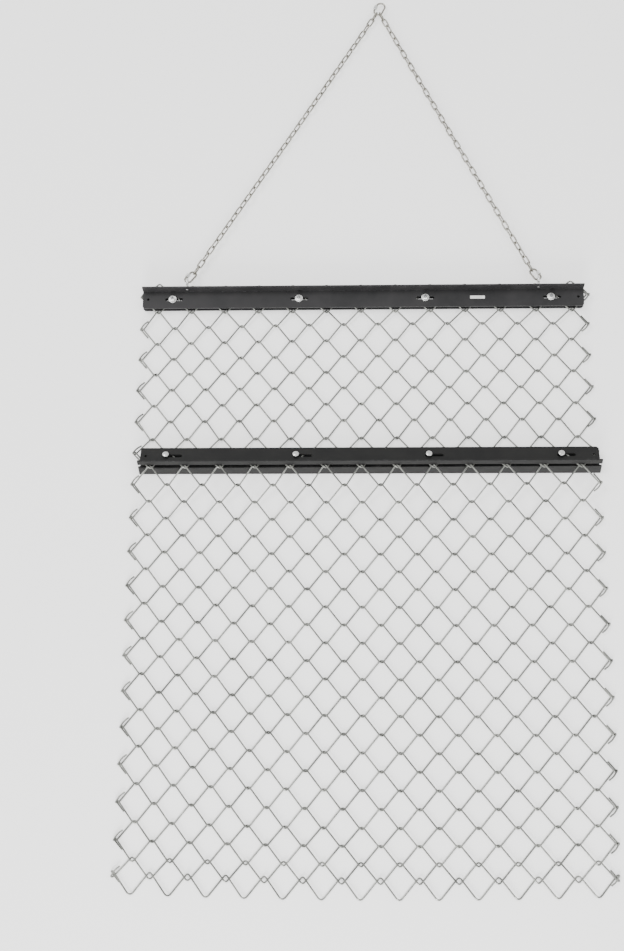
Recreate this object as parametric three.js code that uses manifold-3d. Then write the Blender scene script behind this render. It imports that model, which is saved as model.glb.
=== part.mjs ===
// A drag harrow for towing behind a small vehicle: a mat of zigzag wires hooked row by row, clamped
// between a tow bar and a levelling bar, with a two-legged chain to an oval link in front.
// Millimetres. X is to the right, Y towards the tow chain, Z up.
// The origin is the middle of the flat underside of the tow bar's clamp strap.

import * as THREE from "three";
import { mergeVertices } from "three/addons/utils/BufferGeometryUtils.js";
import Module from "manifold-3d";

const wasm = await Module();
wasm.setup();
const DEG = Math.PI / 180;

// Mat: wire, bends and rows
const wireDia = 4;
const wireSides = 4;
const picketCount = 36;
const bendCount = 27; // bends along one wire
const sideLength = 61.1; // one straight of the zigzag
const frontPitch = 42.7; // row to row at the tow bar
const rearPitch = 42.6; // row to row at the tail
const wireGap = 0.8; // left between two wires where they hook
const tipHalf = 4; // half of the short run across a hook
const looseTips = [2.6, 6]; // more reach of the last two hooks, which hang slack
const frontSlack = 7; // how far the free front wire is pushed back
const knuckleOut = 2; // how far an end tail leans out
const knuckleRise = 16; // how far an end tail turns back
const sideDrift = 9.7; // the wires are spread a little more on the right
const matShift = -5; // middle of the mat from the middle of the tow bar

// Bars
const barLength = 1120;
const barWidth = 50;
const bladeHeight = 28; // the angle's other leg
const plateThick = 4;
const lipHeight = 14; // lip of the levelling bar's strap
const bladeOverhang = 5; // each end of the levelling blade and lip past their plates
const cornerCut = 5;
const slotLength = 46;
const slotWidth = 9;
const slotShares = [-3 / 7, -1 / 7, 1 / 7, 3 / 7]; // of the bar's length
const endHoleDia = 7;
const endHoleInset = 13.5;
const seatGap = 0.3; // between pieces that bear on each other
const towRowAhead = 9.5; // first hooked row ahead of the tow bar's middle
const levelBarShift = 14.4; // levelling bar's middle from the tow bar's
const ridgeAhead = 2.3; // rear edge of its plates ahead of the row behind it
const levelTipLift = 0.85; // how far that row is lifted off the ground
const groundGap = 0.2; // under the levelling blade
const dropRows = 3; // rows in which the mat comes down behind each bar

// Bolts
const boltDia = 8;
const boltSides = 12;
const boltHeadDia = 18;
const boltHeadHigh = 4;
const boltHeadEdge = 1.4;
const neckWidth = 8;
const washerDia = 20;
const washerThick = 1.6;
const nutAcross = 13;
const nutHigh = 6.5;
const boltEnd = 3; // thread past the nut
const neckHigh = 5; // square neck standing out of the levelling bar's slots
const towBoltSlides = [-8, -1, 0, -3]; // bolts from the middles of their slots
const levelBoltSlides = [-17, -18, -13, -12];

// Tow chain
const eyeInset = 114; // eyes from the ends of the tow bar
const eyeHole = 11;
const eyeWire = 6;
const eyeNeck = 3;
const linkWire = 5; // chain link
const linkInnerWidth = 10;
const linkInnerLength = 21.9;
const lowerLinks = 21; // links of a leg next to the bar
const leftUpperLinks = 20; // links of a leg next to the apex
const rightUpperLinks = 18;
const linkFuse = 0.5; // how far joined links sink into each other
const hookGap = 0.4; // play where a piece of the chain turns on the next
const eyeHookGap = 0.25; // and where a bar link, set askew, turns in its eye
const apexHookGap = 0.2; // and where the legs turn on the apex link
const quickWire = 5; // oval screw link
const quickReach = 39; // middle of one bow to the middle of the other
const quickInnerWidth = 12;
const apexInnerWidth = 18;
const apexReach = 38;
const apexTurn = 25; // degrees that the apex link lies askew
const quickRestShare = 0.33; // fall of a bar link over its reach
const sleeveDia = 11;
const sleeveLength = 13;
const sleeveMouth = 8; // gap in the link that the sleeve closes
const sleeveClear = 0.35; // round the wire in the sleeve
const [linkSides, linkCorners, quickSides, bowCorners, eyeCorners] = [3, 4, 4, 4, 12];
const holeCorners = 8;

// Worked out from these
const wireRadius = wireDia / 2;
const legOffset = (wireDia + wireGap) / 2; // each straight lies this far above or below the mat's middle
const tipReach = legOffset;
const matHalf = legOffset + wireRadius;
const lastBend = bendCount - 1;
const midBend = lastBend / 2;
const shareCount = picketCount - 1;
const floorZ = -seatGap - boltHeadHigh;
const towMatZ = plateThick + seatGap + matHalf;
const groundMatZ = floorZ + matHalf;
const hingeRow = 10; // the row in front of the levelling bar's two wires
const slotPlaces = slotShares.map((share) => share * barLength);
const eyePlace = barLength / 2 - eyeInset;
const ridgeRow = hingeRow + 2;
const plateLow = matHalf + seatGap; // near face of a plate from the mat's middle

const rowPitch = (row) => frontPitch + ((rearPitch - frontPitch) * row) / picketCount;
const picketPitch = (picket) => frontPitch + ((rearPitch - frontPitch) * (picket - 1)) / shareCount;
const bendPitch = (row) => Math.sqrt(sideLength ** 2 - rowPitch(row) ** 2);

function bendX(row, bend) {
  const share = (bend - midBend) / midBend;
  return matShift + share * midBend * bendPitch(row) + sideDrift * share ** 2;
}

// How far the levelling bar leans so that its blade's edge meets the ground
const levelBarSetback = picketPitch(hingeRow + 1) + picketPitch(ridgeRow) - ridgeAhead - barWidth;
const levelTipZ = groundMatZ + levelTipLift;
const bladeDown = plateLow + bladeHeight;
const bladeBack = levelBarSetback + barWidth - plateThick;
const bladeFall = levelTipZ - floorZ - groundGap;
const levelLean = Math.acos(bladeFall / Math.hypot(bladeDown, bladeBack)) - Math.atan2(bladeBack, bladeDown);

// Where each row of hooks lies at rest, front row first
function layRows() {
  const rows = [{ y: towRowAhead + picketPitch(1) - frontSlack, z: towMatZ }];
  const ridgeZ = levelTipZ + (picketPitch(hingeRow + 1) + picketPitch(ridgeRow)) * Math.sin(levelLean);
  for (let row = 1; row <= picketCount; row++) {
    const last = rows[row - 1];
    let z = groundMatZ;
    if (row <= 2) z = towMatZ;
    else if (row < 2 + dropRows) z = towMatZ + ((groundMatZ - towMatZ) * (row - 2)) / dropRows;
    else if (row === hingeRow) z = levelTipZ;
    else if (row === hingeRow + 1) z = levelTipZ + picketPitch(row) * Math.sin(levelLean);
    else if (row === ridgeRow) z = ridgeZ;
    else if (row > ridgeRow && row < ridgeRow + dropRows)
      z = ridgeZ + ((groundMatZ - ridgeZ) * (row - ridgeRow)) / dropRows;
    const y = row === 1 ? towRowAhead : last.y - Math.sqrt(picketPitch(row) ** 2 - (z - last.z) ** 2);
    rows.push({ y, z });
  }
  return rows;
}
const rows = layRows();

// Where a bolt stands on a line so far behind the front row of a picket that starts in front. It takes the
// place nearest to the middle of its slot plus its slide that clears every wire.
function boltPlace(slotMiddle, slide, picket, behind) {
  const across = bendPitch(picket) - 2 * tipHalf;
  const down = picketPitch(picket) + 2 * tipReach;
  const clear = ((boltDia / 2 + wireRadius + seatGap) * Math.hypot(across, down)) / down;
  const travel = (slotLength - boltDia) / 2 - seatGap;
  const frontShare = (behind + tipReach) / down;
  const crossing = (bend) => {
    const startsInFront = bend % 2 === 0;
    const start = bendX(startsInFront ? picket - 1 : picket, bend) + tipHalf;
    const end = bendX(startsInFront ? picket : picket - 1, bend + 1) - tipHalf;
    return start + (end - start) * (startsInFront ? frontShare : 1 - frontShare);
  };
  const tail = (bend, side) => bendX(picket - 1, bend) + side * (tipHalf + knuckleOut);
  const wires = [-Infinity, tail(0, -1)];
  for (let bend = 0; bend < lastBend; bend++) wires.push(crossing(bend));
  wires.push(tail(lastBend, 1), Infinity);
  const wanted = slotMiddle + slide;
  const away = (place) => Math.abs(place - wanted);
  let best = Infinity;
  for (let i = 0; i + 1 < wires.length; i++) {
    const low = Math.max(wires[i] + clear, slotMiddle - travel);
    const high = Math.min(wires[i + 1] - clear, slotMiddle + travel);
    const place = Math.min(Math.max(wanted, low), high);
    if (low <= high && away(place) < away(best)) best = place;
  }
  return best;
}
const towBoltPlaces = slotPlaces.map((x, i) => boltPlace(x, towBoltSlides[i], 2, towRowAhead));
// Middle of the levelling bar behind the row in front of it
const levelLine = picketPitch(ridgeRow) - ridgeAhead - barWidth / 2;
const levelBoltPlaces = slotPlaces.map((x, i) =>
  boltPlace(x + levelBarShift, levelBoltSlides[i], ridgeRow, levelLine),
);

// Tow chain, from the eye bolts forwards
const linkReach = linkInnerLength + linkWire;
const linkHalf = (linkInnerWidth + linkWire) / 2;
const linkStep = linkInnerLength + linkFuse;
const eyeFlat = Math.cos(Math.PI / eyeCorners);
const eyeToFace = eyeHole / 2 + eyeWire + eyeNeck + washerThick + seatGap;
const eyeToBack = eyeToFace + plateThick;
const eyeY = barWidth / 2 + eyeToFace;
const eyeZ = towMatZ + plateLow + bladeHeight / 2;
const quickSlope = Math.asin(quickRestShare);
const eyeMiddle = (eyeHole + eyeWire) / 2;
// Middle of the eye's wire where the bar link pulls
const eyeFrontY = eyeY + eyeMiddle * Math.cos(quickSlope);
const eyeFrontZ = eyeZ - eyeMiddle * Math.sin(quickSlope);
const hookBack = (eyeWire + quickWire) / 2 + eyeHookGap; // from there back to the middle of a bar link's bow
const eyeToChain = quickReach - hookBack;
const chainZ = eyeFrontZ - eyeToChain * Math.sin(quickSlope);
const chainRestZ = floorZ + linkHalf + linkWire / 2;
// From a screw link's bow to the middle of the chain link on it
const bowToLink = (play) => linkInnerLength / 2 - quickWire / 2 - play;
const lowerStart = bowToLink(hookGap);
const linkToCrown = linkReach / 2;
const lowerLength = lowerStart + (lowerLinks - 1) * linkStep + linkInnerLength - hookGap - linkToCrown;
const upperLinks = { left: leftUpperLinks, right: rightUpperLinks };
const upperLength = (word) => linkToCrown + (upperLinks[word] - 1) * linkStep + bowToLink(apexHookGap);
const chainFall = chainZ - chainRestZ;
const lowerSlope = Math.asin(chainFall / lowerLength);
const lowerPlan = lowerLength * Math.cos(lowerSlope);
const apexHalf = (apexInnerWidth + quickWire) / 2;
const quickPlan = eyeToChain * Math.cos(quickSlope);
// The legs run to the middle of the apex link's rear bow. The left one is longer, so the apex lies to
// the right.
const legSides = { left: -1, right: 1 };
const legPlan = (word) => quickPlan + lowerPlan + upperLength(word);
const [leftReach, rightReach] = [legPlan("left") + apexHalf, legPlan("right") + apexHalf];
const apexX = (leftReach ** 2 - rightReach ** 2) / (4 * eyePlace);
const apexY = eyeFrontY + Math.sqrt(leftReach ** 2 - (eyePlace + apexX) ** 2);
const legTurn = (word) => Math.atan2(eyePlace - legSides[word] * apexX, apexY - eyeFrontY);
const alongLeg = (word, reach) => ({
  x: legSides[word] * (eyePlace - reach * Math.sin(legTurn(word))),
  y: eyeFrontY + reach * Math.cos(legTurn(word)),
});
const hook = (word) => ({
  ...alongLeg(word, -hookBack * Math.cos(quickSlope)),
  z: eyeFrontZ + hookBack * Math.sin(quickSlope),
});
const chainStart = (word) => alongLeg(word, quickPlan);
const chainTurn = (word) => alongLeg(word, quickPlan + lowerPlan);

// Solids in and out of the boolean library
function toSolid(geometry) {
  const plain = geometry.clone();
  plain.deleteAttribute("normal");
  plain.deleteAttribute("uv");
  const merged = mergeVertices(plain);
  return new wasm.Manifold(
    new wasm.Mesh({
      numProp: 3,
      vertProperties: merged.attributes.position.array,
      triVerts: new Uint32Array(merged.index.array),
    }),
  );
}

function toGeometry(solid) {
  const { numProp, vertProperties, triVerts } = solid.getMesh();
  const places = new Float32Array((vertProperties.length / numProp) * 3);
  for (let i = 0; i < places.length / 3; i++)
    places.set(vertProperties.subarray(i * numProp, i * numProp + 3), i * 3);
  const geometry = new THREE.BufferGeometry();
  geometry.setAttribute("position", new THREE.BufferAttribute(places, 3));
  geometry.setIndex(new THREE.BufferAttribute(triVerts, 1));
  return geometry;
}

const joined = (shapes) => shapes.map(toSolid).reduce((whole, piece) => whole.add(piece));
const [rearSide, frontSide] = [-1, 1];

// A wire along a list of points. One corner of its section faces the way given for each point.
function wire(points, radius, sides, facings, closed) {
  const places = [];
  const faces = [];
  const count = points.length;
  const at = (i) => points[closed ? (i + count) % count : Math.min(Math.max(i, 0), count - 1)];
  points.forEach((point, i) => {
    const before = point.clone().sub(at(i - 1)).normalize();
    const after = at(i + 1).clone().sub(point).normalize();
    const along = before.add(after).normalize();
    const facing = facings(i).clone();
    facing.addScaledVector(along, -facing.dot(along)).normalize();
    const across = along.clone().cross(facing);
    for (let side = 0; side < sides; side++) {
      const turn = (2 * Math.PI * side) / sides;
      const place = point
        .clone()
        .addScaledVector(facing, radius * Math.cos(turn))
        .addScaledVector(across, radius * Math.sin(turn));
      places.push(place.x, place.y, place.z);
    }
  });
  const spans = closed ? count : count - 1;
  for (let i = 0; i < spans; i++)
    for (let side = 0; side < sides; side++) {
      const [a, b] = [i * sides + side, i * sides + ((side + 1) % sides)];
      const next = ((i + 1) % count) * sides;
      const [c, d] = [next + side, next + ((side + 1) % sides)];
      faces.push(a, b, d, a, d, c);
    }
  const lastRing = (count - 1) * sides;
  for (let side = 1; !closed && side < sides - 1; side++) {
    faces.push(0, side + 1, side);
    faces.push(lastRing, lastRing + side, lastRing + side + 1);
  }
  const geometry = new THREE.BufferGeometry();
  geometry.setAttribute("position", new THREE.BufferAttribute(new Float32Array(places), 3));
  geometry.setIndex(faces);
  return geometry;
}

const reachAt = (row) => tipReach + (looseTips[row - picketCount + looseTips.length] ?? 0);

// One zigzag wire between two rows. Straights that run down to the right lie on top, the others below.
function picketGeometry(picket) {
  const [front, rear] = [rows[picket - 1], rows[picket]];
  const back = new THREE.Vector3(0, rear.y - front.y, rear.z - front.z).normalize();
  const up = new THREE.Vector3(0, back.z, -back.y);
  const startsBehind = picket % 2 === 1; // both ends of an odd wire are on its rear row
  const onRear = (bend) => (bend % 2 === 0) === startsBehind;
  const points = [];
  const facings = [];
  const add = (x, row, along, height) => {
    const place = new THREE.Vector3(x, row.y, row.z);
    points.push(place.addScaledVector(back, along).addScaledVector(up, height));
    facings.push(up);
  };
  for (let bend = 0; bend <= lastBend; bend++) {
    const rearTip = onRear(bend);
    const rowIndex = rearTip ? picket : picket - 1;
    const row = rows[rowIndex];
    const out = rearTip ? 1 : -1;
    const x = bendX(rowIndex, bend);
    const tail = -out * knuckleRise;
    if (bend === 0) add(x - tipHalf - knuckleOut, row, tail, out * legOffset);
    add(x - tipHalf, row, out * reachAt(rowIndex), out * legOffset);
    add(x + tipHalf, row, out * reachAt(rowIndex), -out * legOffset);
    if (bend === lastBend) add(x + tipHalf + knuckleOut, row, tail, -out * legOffset);
  }
  return wire(points, wireRadius, wireSides, (i) => facings[i], false);
}

const plateCut = { depth: plateThick, bevelEnabled: false, curveSegments: holeCorners / 2 };

// Flat bar in its own frame: X along it, Y forwards, Z up from its lower face. Its free edge has cut corners.
function slottedPlate(freeSide) {
  const [endX, edgeY] = [barLength / 2, freeSide * (barWidth / 2)];
  const cutY = edgeY - freeSide * cornerCut;
  const outline = new THREE.Shape();
  outline.moveTo(-endX, -edgeY);
  outline.lineTo(-endX, cutY);
  outline.lineTo(-endX + cornerCut, edgeY);
  outline.lineTo(endX - cornerCut, edgeY);
  outline.lineTo(endX, cutY);
  outline.lineTo(endX, -edgeY);
  outline.closePath();
  const [round, straight] = [slotWidth / 2, (slotLength - slotWidth) / 2];
  for (const x of slotPlaces) {
    const slot = new THREE.Path();
    slot.absarc(x + straight, 0, round, -Math.PI / 2, Math.PI / 2, false);
    slot.absarc(x - straight, 0, round, Math.PI / 2, (3 * Math.PI) / 2, false);
    slot.closePath();
    outline.holes.push(slot);
  }
  for (const side of [-1, 1]) {
    const hole = new THREE.Path();
    hole.absarc(side * (endX - endHoleInset), 0, endHoleDia / 2, 0, 2 * Math.PI, false);
    outline.holes.push(hole);
  }
  return new THREE.ExtrudeGeometry(outline, plateCut);
}

// A leg that stands on one long edge of a plate, with round holes across it
function edgeLeg(height, overhang, holes) {
  const half = barLength / 2 + overhang;
  const outline = new THREE.Shape();
  outline.moveTo(-half, 0);
  outline.lineTo(half, 0);
  outline.lineTo(half, height);
  outline.lineTo(-half, height);
  outline.closePath();
  const holeRadius = (boltDia / 2 + seatGap) / Math.cos(Math.PI / holeCorners);
  for (const x of holes) {
    const hole = new THREE.Path();
    hole.absarc(x, height / 2, holeRadius, 0, 2 * Math.PI, false);
    outline.holes.push(hole);
  }
  const leg = new THREE.ExtrudeGeometry(outline, plateCut);
  return leg.rotateX(Math.PI / 2); // it now stands from Z 0 to its height, and from Y 0 back by its thickness
}

function towAngleGeometry() {
  const leg = edgeLeg(bladeHeight, 0, [-eyePlace, eyePlace]).translate(0, barWidth / 2, 0);
  return toGeometry(joined([slottedPlate(rearSide), leg]));
}

function levelAngleGeometry() {
  const leg = edgeLeg(bladeHeight, bladeOverhang, []);
  leg.translate(0, -barWidth / 2 + plateThick, plateThick - bladeHeight);
  return toGeometry(joined([slottedPlate(frontSide), leg]));
}

function levelStrapGeometry() {
  const lip = edgeLeg(lipHeight, bladeOverhang, []);
  lip.translate(0, -barWidth / 2 + plateThick, 0);
  return toGeometry(joined([slottedPlate(frontSide), lip]));
}

function disc(dia, low, high, sides) {
  const geometry = new THREE.CylinderGeometry(dia / 2, dia / 2, high - low, sides);
  return geometry.rotateX(Math.PI / 2).translate(0, 0, (low + high) / 2);
}

// Bolt with its round head, washer and nut. Z runs from the head to the nut; the head bears at Z 0.
function boltGeometry(grip, neck) {
  const nutLow = grip + seatGap + washerThick;
  const nutDia = nutAcross / Math.cos(Math.PI / 6);
  const domeHigh = boltHeadHigh - boltHeadEdge;
  const head = new THREE.CylinderGeometry(boltHeadDia / 2, boltDia / 2, domeHigh, boltSides);
  head.rotateX(Math.PI / 2).translate(0, 0, -neck - seatGap - (boltHeadHigh + boltHeadEdge) / 2);
  const pieces = [
    head,
    disc(boltHeadDia, -neck - seatGap - boltHeadEdge, -neck - seatGap, boltSides),
    disc(boltDia, -neck - seatGap - boltHeadEdge, nutLow + nutHigh + boltEnd, boltSides),
    disc(washerDia, grip + seatGap, nutLow, boltSides),
    disc(nutDia, nutLow - seatGap, nutLow + nutHigh, 6),
  ];
  if (neck > 0) {
    const square = new THREE.BoxGeometry(neckWidth, neckWidth, neck);
    pieces.push(square.translate(0, 0, -neck / 2 - seatGap));
  }
  return toGeometry(joined(pieces));
}

// Points round a long ring of wire in the XY plane, X along it. Reach is from bow to bow.
function ovalPoints(reach, half, corners) {
  const points = [];
  const bow = half / Math.cos(Math.PI / corners / 2);
  for (const end of [1, -1])
    for (let i = 0; i < corners; i++) {
      const turn = Math.PI * ((i + 0.5) / corners - 0.5);
      const x = reach / 2 - half + bow * Math.cos(turn);
      points.push(new THREE.Vector3(end * x, end * bow * Math.sin(turn), 0));
    }
  return points;
}

// From a point of such a ring towards the middle of its nearer bow
const inward = (point, reach, half) => {
  const bowX = Math.sign(point.x) * (reach / 2 - half);
  return new THREE.Vector3(Math.abs(point.x) > Math.abs(bowX) ? bowX - point.x : 0, -point.y, 0);
};

function chainLinkGeometry() {
  const points = ovalPoints(linkReach, linkHalf, linkCorners);
  return wire(points, linkWire / 2, linkSides, (i) => inward(points[i], linkReach, linkHalf), true);
}

// A run of joined links along +X from its first link's middle. Links with an even number stand on edge.
function chainRun(firstLink, count, start) {
  const links = [];
  for (let i = 0; i < count; i++) {
    const link = chainLinkGeometry();
    if ((firstLink + i) % 2 === 0) link.rotateX(Math.PI / 2);
    links.push(link.translate(start + i * linkStep, 0, 0));
  }
  return toGeometry(joined(links));
}

// Oval link from the middle of its rear bow along +X, with a mouth in its +Y side
function screwLinkGeometry(reach, innerWidth) {
  const half = (innerWidth + quickWire) / 2;
  const ring = ovalPoints(reach, half, bowCorners);
  const mouth = (side) => new THREE.Vector3((side * sleeveMouth) / 2, half, 0);
  const points = [mouth(-1), ...ring.slice(bowCorners), ...ring.slice(0, bowCorners), mouth(1)];
  const facing = (i) => inward(points[i], reach, half);
  return wire(points, quickWire / 2, quickSides, facing, false).translate(reach / 2, 0, 0);
}

function sleeveGeometry(reach, innerWidth) {
  const outer = disc(sleeveDia, -sleeveLength / 2, sleeveLength / 2, 6);
  const boreDia = (quickWire + 2 * sleeveClear) / Math.cos(Math.PI / 6);
  const bore = disc(boreDia, -sleeveLength, sleeveLength, 6);
  const sleeve = toGeometry(toSolid(outer).subtract(toSolid(bore)));
  return sleeve.rotateY(Math.PI / 2).translate(reach / 2, (innerWidth + quickWire) / 2, 0);
}

// Eye from the middle of its ring, Z along the shank to the leg, which it is riveted flush in
function towEyeGeometry() {
  const middle = (eyeHole + eyeWire) / 2;
  const ring = [];
  for (let i = 0; i < eyeCorners; i++) {
    const turn = (2 * Math.PI * i) / eyeCorners;
    ring.push(new THREE.Vector3(0, Math.cos(turn), Math.sin(turn)).multiplyScalar(middle / eyeFlat));
  }
  return toGeometry(
    joined([
      wire(ring, eyeWire / 2, quickSides, (i) => ring[i], true),
      disc(boltDia, middle, eyeToBack, boltSides),
      disc(washerDia, eyeToFace - seatGap - washerThick, eyeToFace - seatGap, boltSides),
    ]),
  );
}

const materials = {
  wire: new THREE.MeshStandardMaterial({ color: 0xb9bbb8, roughness: 0.42, metalness: 0.9 }),
  bar: new THREE.MeshStandardMaterial({ color: 0x3f3e40, roughness: 0.55, metalness: 0.1 }),
  bolt: new THREE.MeshStandardMaterial({ color: 0xd6d7d4, roughness: 0.3, metalness: 0.95 }),
  chain: new THREE.MeshStandardMaterial({ color: 0xc9c8c2, roughness: 0.38, metalness: 0.9 }),
};

const harrow = new THREE.Group();

function addMesh(parent, name, geometry, material) {
  const mesh = new THREE.Mesh(geometry, material);
  mesh.name = name;
  parent.add(mesh);
  return mesh;
}

function addMat() {
  for (let picket = 1; picket <= picketCount; picket++)
    addMesh(harrow, "picket_" + String(picket).padStart(2, "0"), picketGeometry(picket), materials.wire);
}

const grip = 2 * (plateLow + plateThick);

function addTowBar() {
  addMesh(harrow, "tow_clamp_strap", toGeometry(toSolid(slottedPlate(rearSide))), materials.bar);
  const angle = addMesh(harrow, "tow_angle", towAngleGeometry(), materials.bar);
  angle.position.z = towMatZ + plateLow;
  towBoltPlaces.forEach((x, i) => {
    const bolt = addMesh(harrow, "tow_bolt_" + (i + 1), boltGeometry(grip, 0), materials.bolt);
    bolt.position.x = x;
  });
}

function addLevelBar() {
  const bar = new THREE.Group();
  bar.position.set(0, rows[hingeRow].y, rows[hingeRow].z);
  bar.rotation.x = -levelLean;
  const middleY = -levelBarSetback - barWidth / 2;
  const strap = addMesh(bar, "level_clamp_strap", levelStrapGeometry(), materials.bar);
  strap.position.set(levelBarShift, middleY, plateLow);
  const angle = addMesh(bar, "level_angle", levelAngleGeometry(), materials.bar);
  angle.position.set(levelBarShift, middleY, -plateLow - plateThick);
  levelBoltPlaces.forEach((x, i) => {
    const bolt = addMesh(bar, "level_bolt_" + (i + 1), boltGeometry(grip, neckHigh), materials.bolt);
    bolt.rotation.x = Math.PI;
    bolt.position.set(x, middleY, plateLow + plateThick);
  });
  harrow.add(bar);
}

function addScrewLink(name, place, slope, turn, reach, innerWidth, sleeveSide) {
  const link = new THREE.Group();
  link.position.copy(place);
  link.rotation.set(0, slope, turn, "ZYX");
  const body = addMesh(link, name, screwLinkGeometry(reach, innerWidth), materials.chain);
  const sleeve = addMesh(link, name + "_sleeve", sleeveGeometry(reach, innerWidth), materials.bolt);
  if (sleeveSide > 0) [body, sleeve].forEach((mesh) => (mesh.rotation.x = Math.PI));
  harrow.add(link);
}

function addTowChain() {
  for (const word of ["left", "right"]) {
    const side = legSides[word];
    const eye = addMesh(harrow, "tow_eye_" + word, towEyeGeometry(), materials.bolt);
    eye.position.set(side * eyePlace, eyeY, eyeZ);
    eye.rotation.x = Math.PI / 2;
    const turn = Math.PI / 2 + side * legTurn(word);
    addScrewLink("bar_link_" + word, hook(word), quickSlope, turn, quickReach, quickInnerWidth, side);
    const lowerRun = chainRun(0, lowerLinks, lowerStart);
    const lower = addMesh(harrow, "chain_lower_" + word, lowerRun, materials.chain);
    lower.position.set(chainStart(word).x, chainStart(word).y, chainZ);
    lower.rotation.set(0, lowerSlope, turn, "ZYX");
    const upperRun = chainRun(lowerLinks, upperLinks[word], linkToCrown);
    const upper = addMesh(harrow, "chain_upper_" + word, upperRun, materials.chain);
    upper.position.set(chainTurn(word).x, chainTurn(word).y, chainRestZ);
    upper.rotation.z = turn;
  }
  const turn = Math.PI / 2 - apexTurn * DEG;
  const [x, y] = [apexX - apexHalf * Math.cos(turn), apexY - apexHalf * Math.sin(turn)];
  addScrewLink("apex_link", { x, y, z: chainRestZ }, 0, turn, apexReach, apexInnerWidth, -1);
}

addMat();
addTowBar();
addLevelBar();
addTowChain();

export default harrow;
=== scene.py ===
"""A drag harrow: a mat of hooked zigzag wires, a tow bar, a levelling bar and a tow chain."""

import math

import bmesh
import bpy
from mathutils import Matrix, Vector


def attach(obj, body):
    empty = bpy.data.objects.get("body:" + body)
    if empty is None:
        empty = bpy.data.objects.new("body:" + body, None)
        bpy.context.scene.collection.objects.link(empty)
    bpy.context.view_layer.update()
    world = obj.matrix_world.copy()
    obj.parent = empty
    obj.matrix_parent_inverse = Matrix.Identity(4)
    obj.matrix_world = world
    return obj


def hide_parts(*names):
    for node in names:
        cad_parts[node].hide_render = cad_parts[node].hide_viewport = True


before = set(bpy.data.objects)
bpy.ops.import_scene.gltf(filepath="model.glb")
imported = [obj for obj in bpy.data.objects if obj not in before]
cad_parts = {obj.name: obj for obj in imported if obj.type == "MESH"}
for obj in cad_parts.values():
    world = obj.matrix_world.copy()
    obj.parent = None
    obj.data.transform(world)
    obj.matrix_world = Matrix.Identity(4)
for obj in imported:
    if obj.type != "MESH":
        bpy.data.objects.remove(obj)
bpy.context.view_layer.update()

MM = 0.001

# Mat, as in the part
WIRE_DIA = 4 * MM
PICKETS = 36  # zigzag wires, which hook into each other in rows
BENDS = 27  # of one wire
SIDE_LENGTH = 61.1 * MM  # one straight of the zigzag
FRONT_PITCH = 42.7 * MM  # row to row at the tow bar
REAR_PITCH = 42.6 * MM  # row to row at the tail
WIRE_GAP = 0.8 * MM  # left between two wires where they hook
TIP_HALF = 4 * MM  # half of the short run across a hook
FRONT_SLACK = 7 * MM  # how far the first wire's free bends are pushed back
SIDE_DRIFT = 9.7 * MM  # the wires are spread a little more on the right
MAT_SHIFT = -5 * MM  # middle of the mat from the middle of the tow bar
TOW_WIRES = 2  # clamped in the tow bar
HINGE_ROW = 10  # in front of the levelling bar's two wires
RIDGE_ROW = 12  # behind them
DROP_ROWS = 3  # in which the mat comes down behind each bar

# Bars, as in the part
BAR_LENGTH = 1120 * MM
BAR_WIDTH = 50 * MM
BLADE_HEIGHT = 28 * MM  # the other leg of each bar's angle
PLATE = 4 * MM
LIP_HEIGHT = 14 * MM  # along the levelling bar's upper plate
BLADE_OVERHANG = 5 * MM  # each end of the levelling blade and lip past their plates
CORNER_CUT = 5 * MM
SLOT_LENGTH = 46 * MM
SLOT_WIDTH = 9 * MM
SLOT_SHARES = (-3 / 7, -1 / 7, 1 / 7, 3 / 7)  # of the bar's length
END_HOLE_DIA = 7 * MM
END_HOLE_INSET = 13.5 * MM
SEAT_GAP = 0.3 * MM  # between pieces that bear on each other
TOW_ROW_AHEAD = 9.5 * MM  # first hooked row ahead of the tow bar's middle
LEVEL_BAR_SHIFT = 14.4 * MM  # levelling bar's middle to the right of the tow bar's
RIDGE_AHEAD = 2.3 * MM  # rear edge of its plates ahead of the ridge row
LEVEL_TIP_LIFT = 0.85 * MM  # how far the hinge row is lifted off the ground
GROUND_GAP = 0.2 * MM  # under the levelling blade

# Bolts, as in the part
BOLT_DIA = 8 * MM
HEAD_DIA = 18 * MM
HEAD_HIGH = 4 * MM
HEAD_EDGE = 1.4 * MM  # upright rim of the head
NECK_WIDTH = 8 * MM
NECK_HIGH = 5 * MM  # square neck standing out of the levelling bar's slots
WASHER_DIA = 20 * MM
WASHER = 1.6 * MM
NUT_ACROSS = 13 * MM
NUT_HIGH = 6.5 * MM
BOLT_END = 3 * MM  # thread past the nut
# Bolts from left to right, from the middle of the tow bar
TOW_BOLTS = (-483.56 * MM, -161 * MM, 160 * MM, 477.34 * MM)
LEVEL_BOLTS = (-482.6 * MM, -163.6 * MM, 161.4 * MM, 482.4 * MM)

# Tow chain, as in the part
EYE_INSET = 114 * MM  # eyes from the ends of the tow bar
EYE_HOLE = 11 * MM
EYE_WIRE = 6 * MM
EYE_NECK = 3 * MM  # from the ring to the collar
LINK_WIRE = 5 * MM
LINK_INNER_WIDTH = 10 * MM
LINK_INNER_LENGTH = 21.9 * MM
LOWER_LINKS = 21  # of each leg, next to the bar
UPPER_LINKS = {"left": 20, "right": 18}  # next to the apex link
LINK_FUSE = 0.5 * MM  # how far joined links sink into each other
HOOK_GAP = 0.4 * MM  # play where a piece of the chain turns on the next
EYE_HOOK_GAP = 0.25 * MM  # and where a bar link, set askew, turns in its eye
APEX_HOOK_GAP = 0.2 * MM  # and where the legs turn on the apex link
QUICK_WIRE = 5 * MM  # of the oval screw links
QUICK_REACH = 39 * MM  # middle of one bow to the middle of the other
QUICK_INNER_WIDTH = 12 * MM
APEX_INNER_WIDTH = 18 * MM
APEX_REACH = 38 * MM
APEX_TURN = math.radians(25)  # how far the apex link lies askew
QUICK_REST_SHARE = 0.33  # fall of a bar link over its reach
SLEEVE_DIA = 11 * MM
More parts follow.
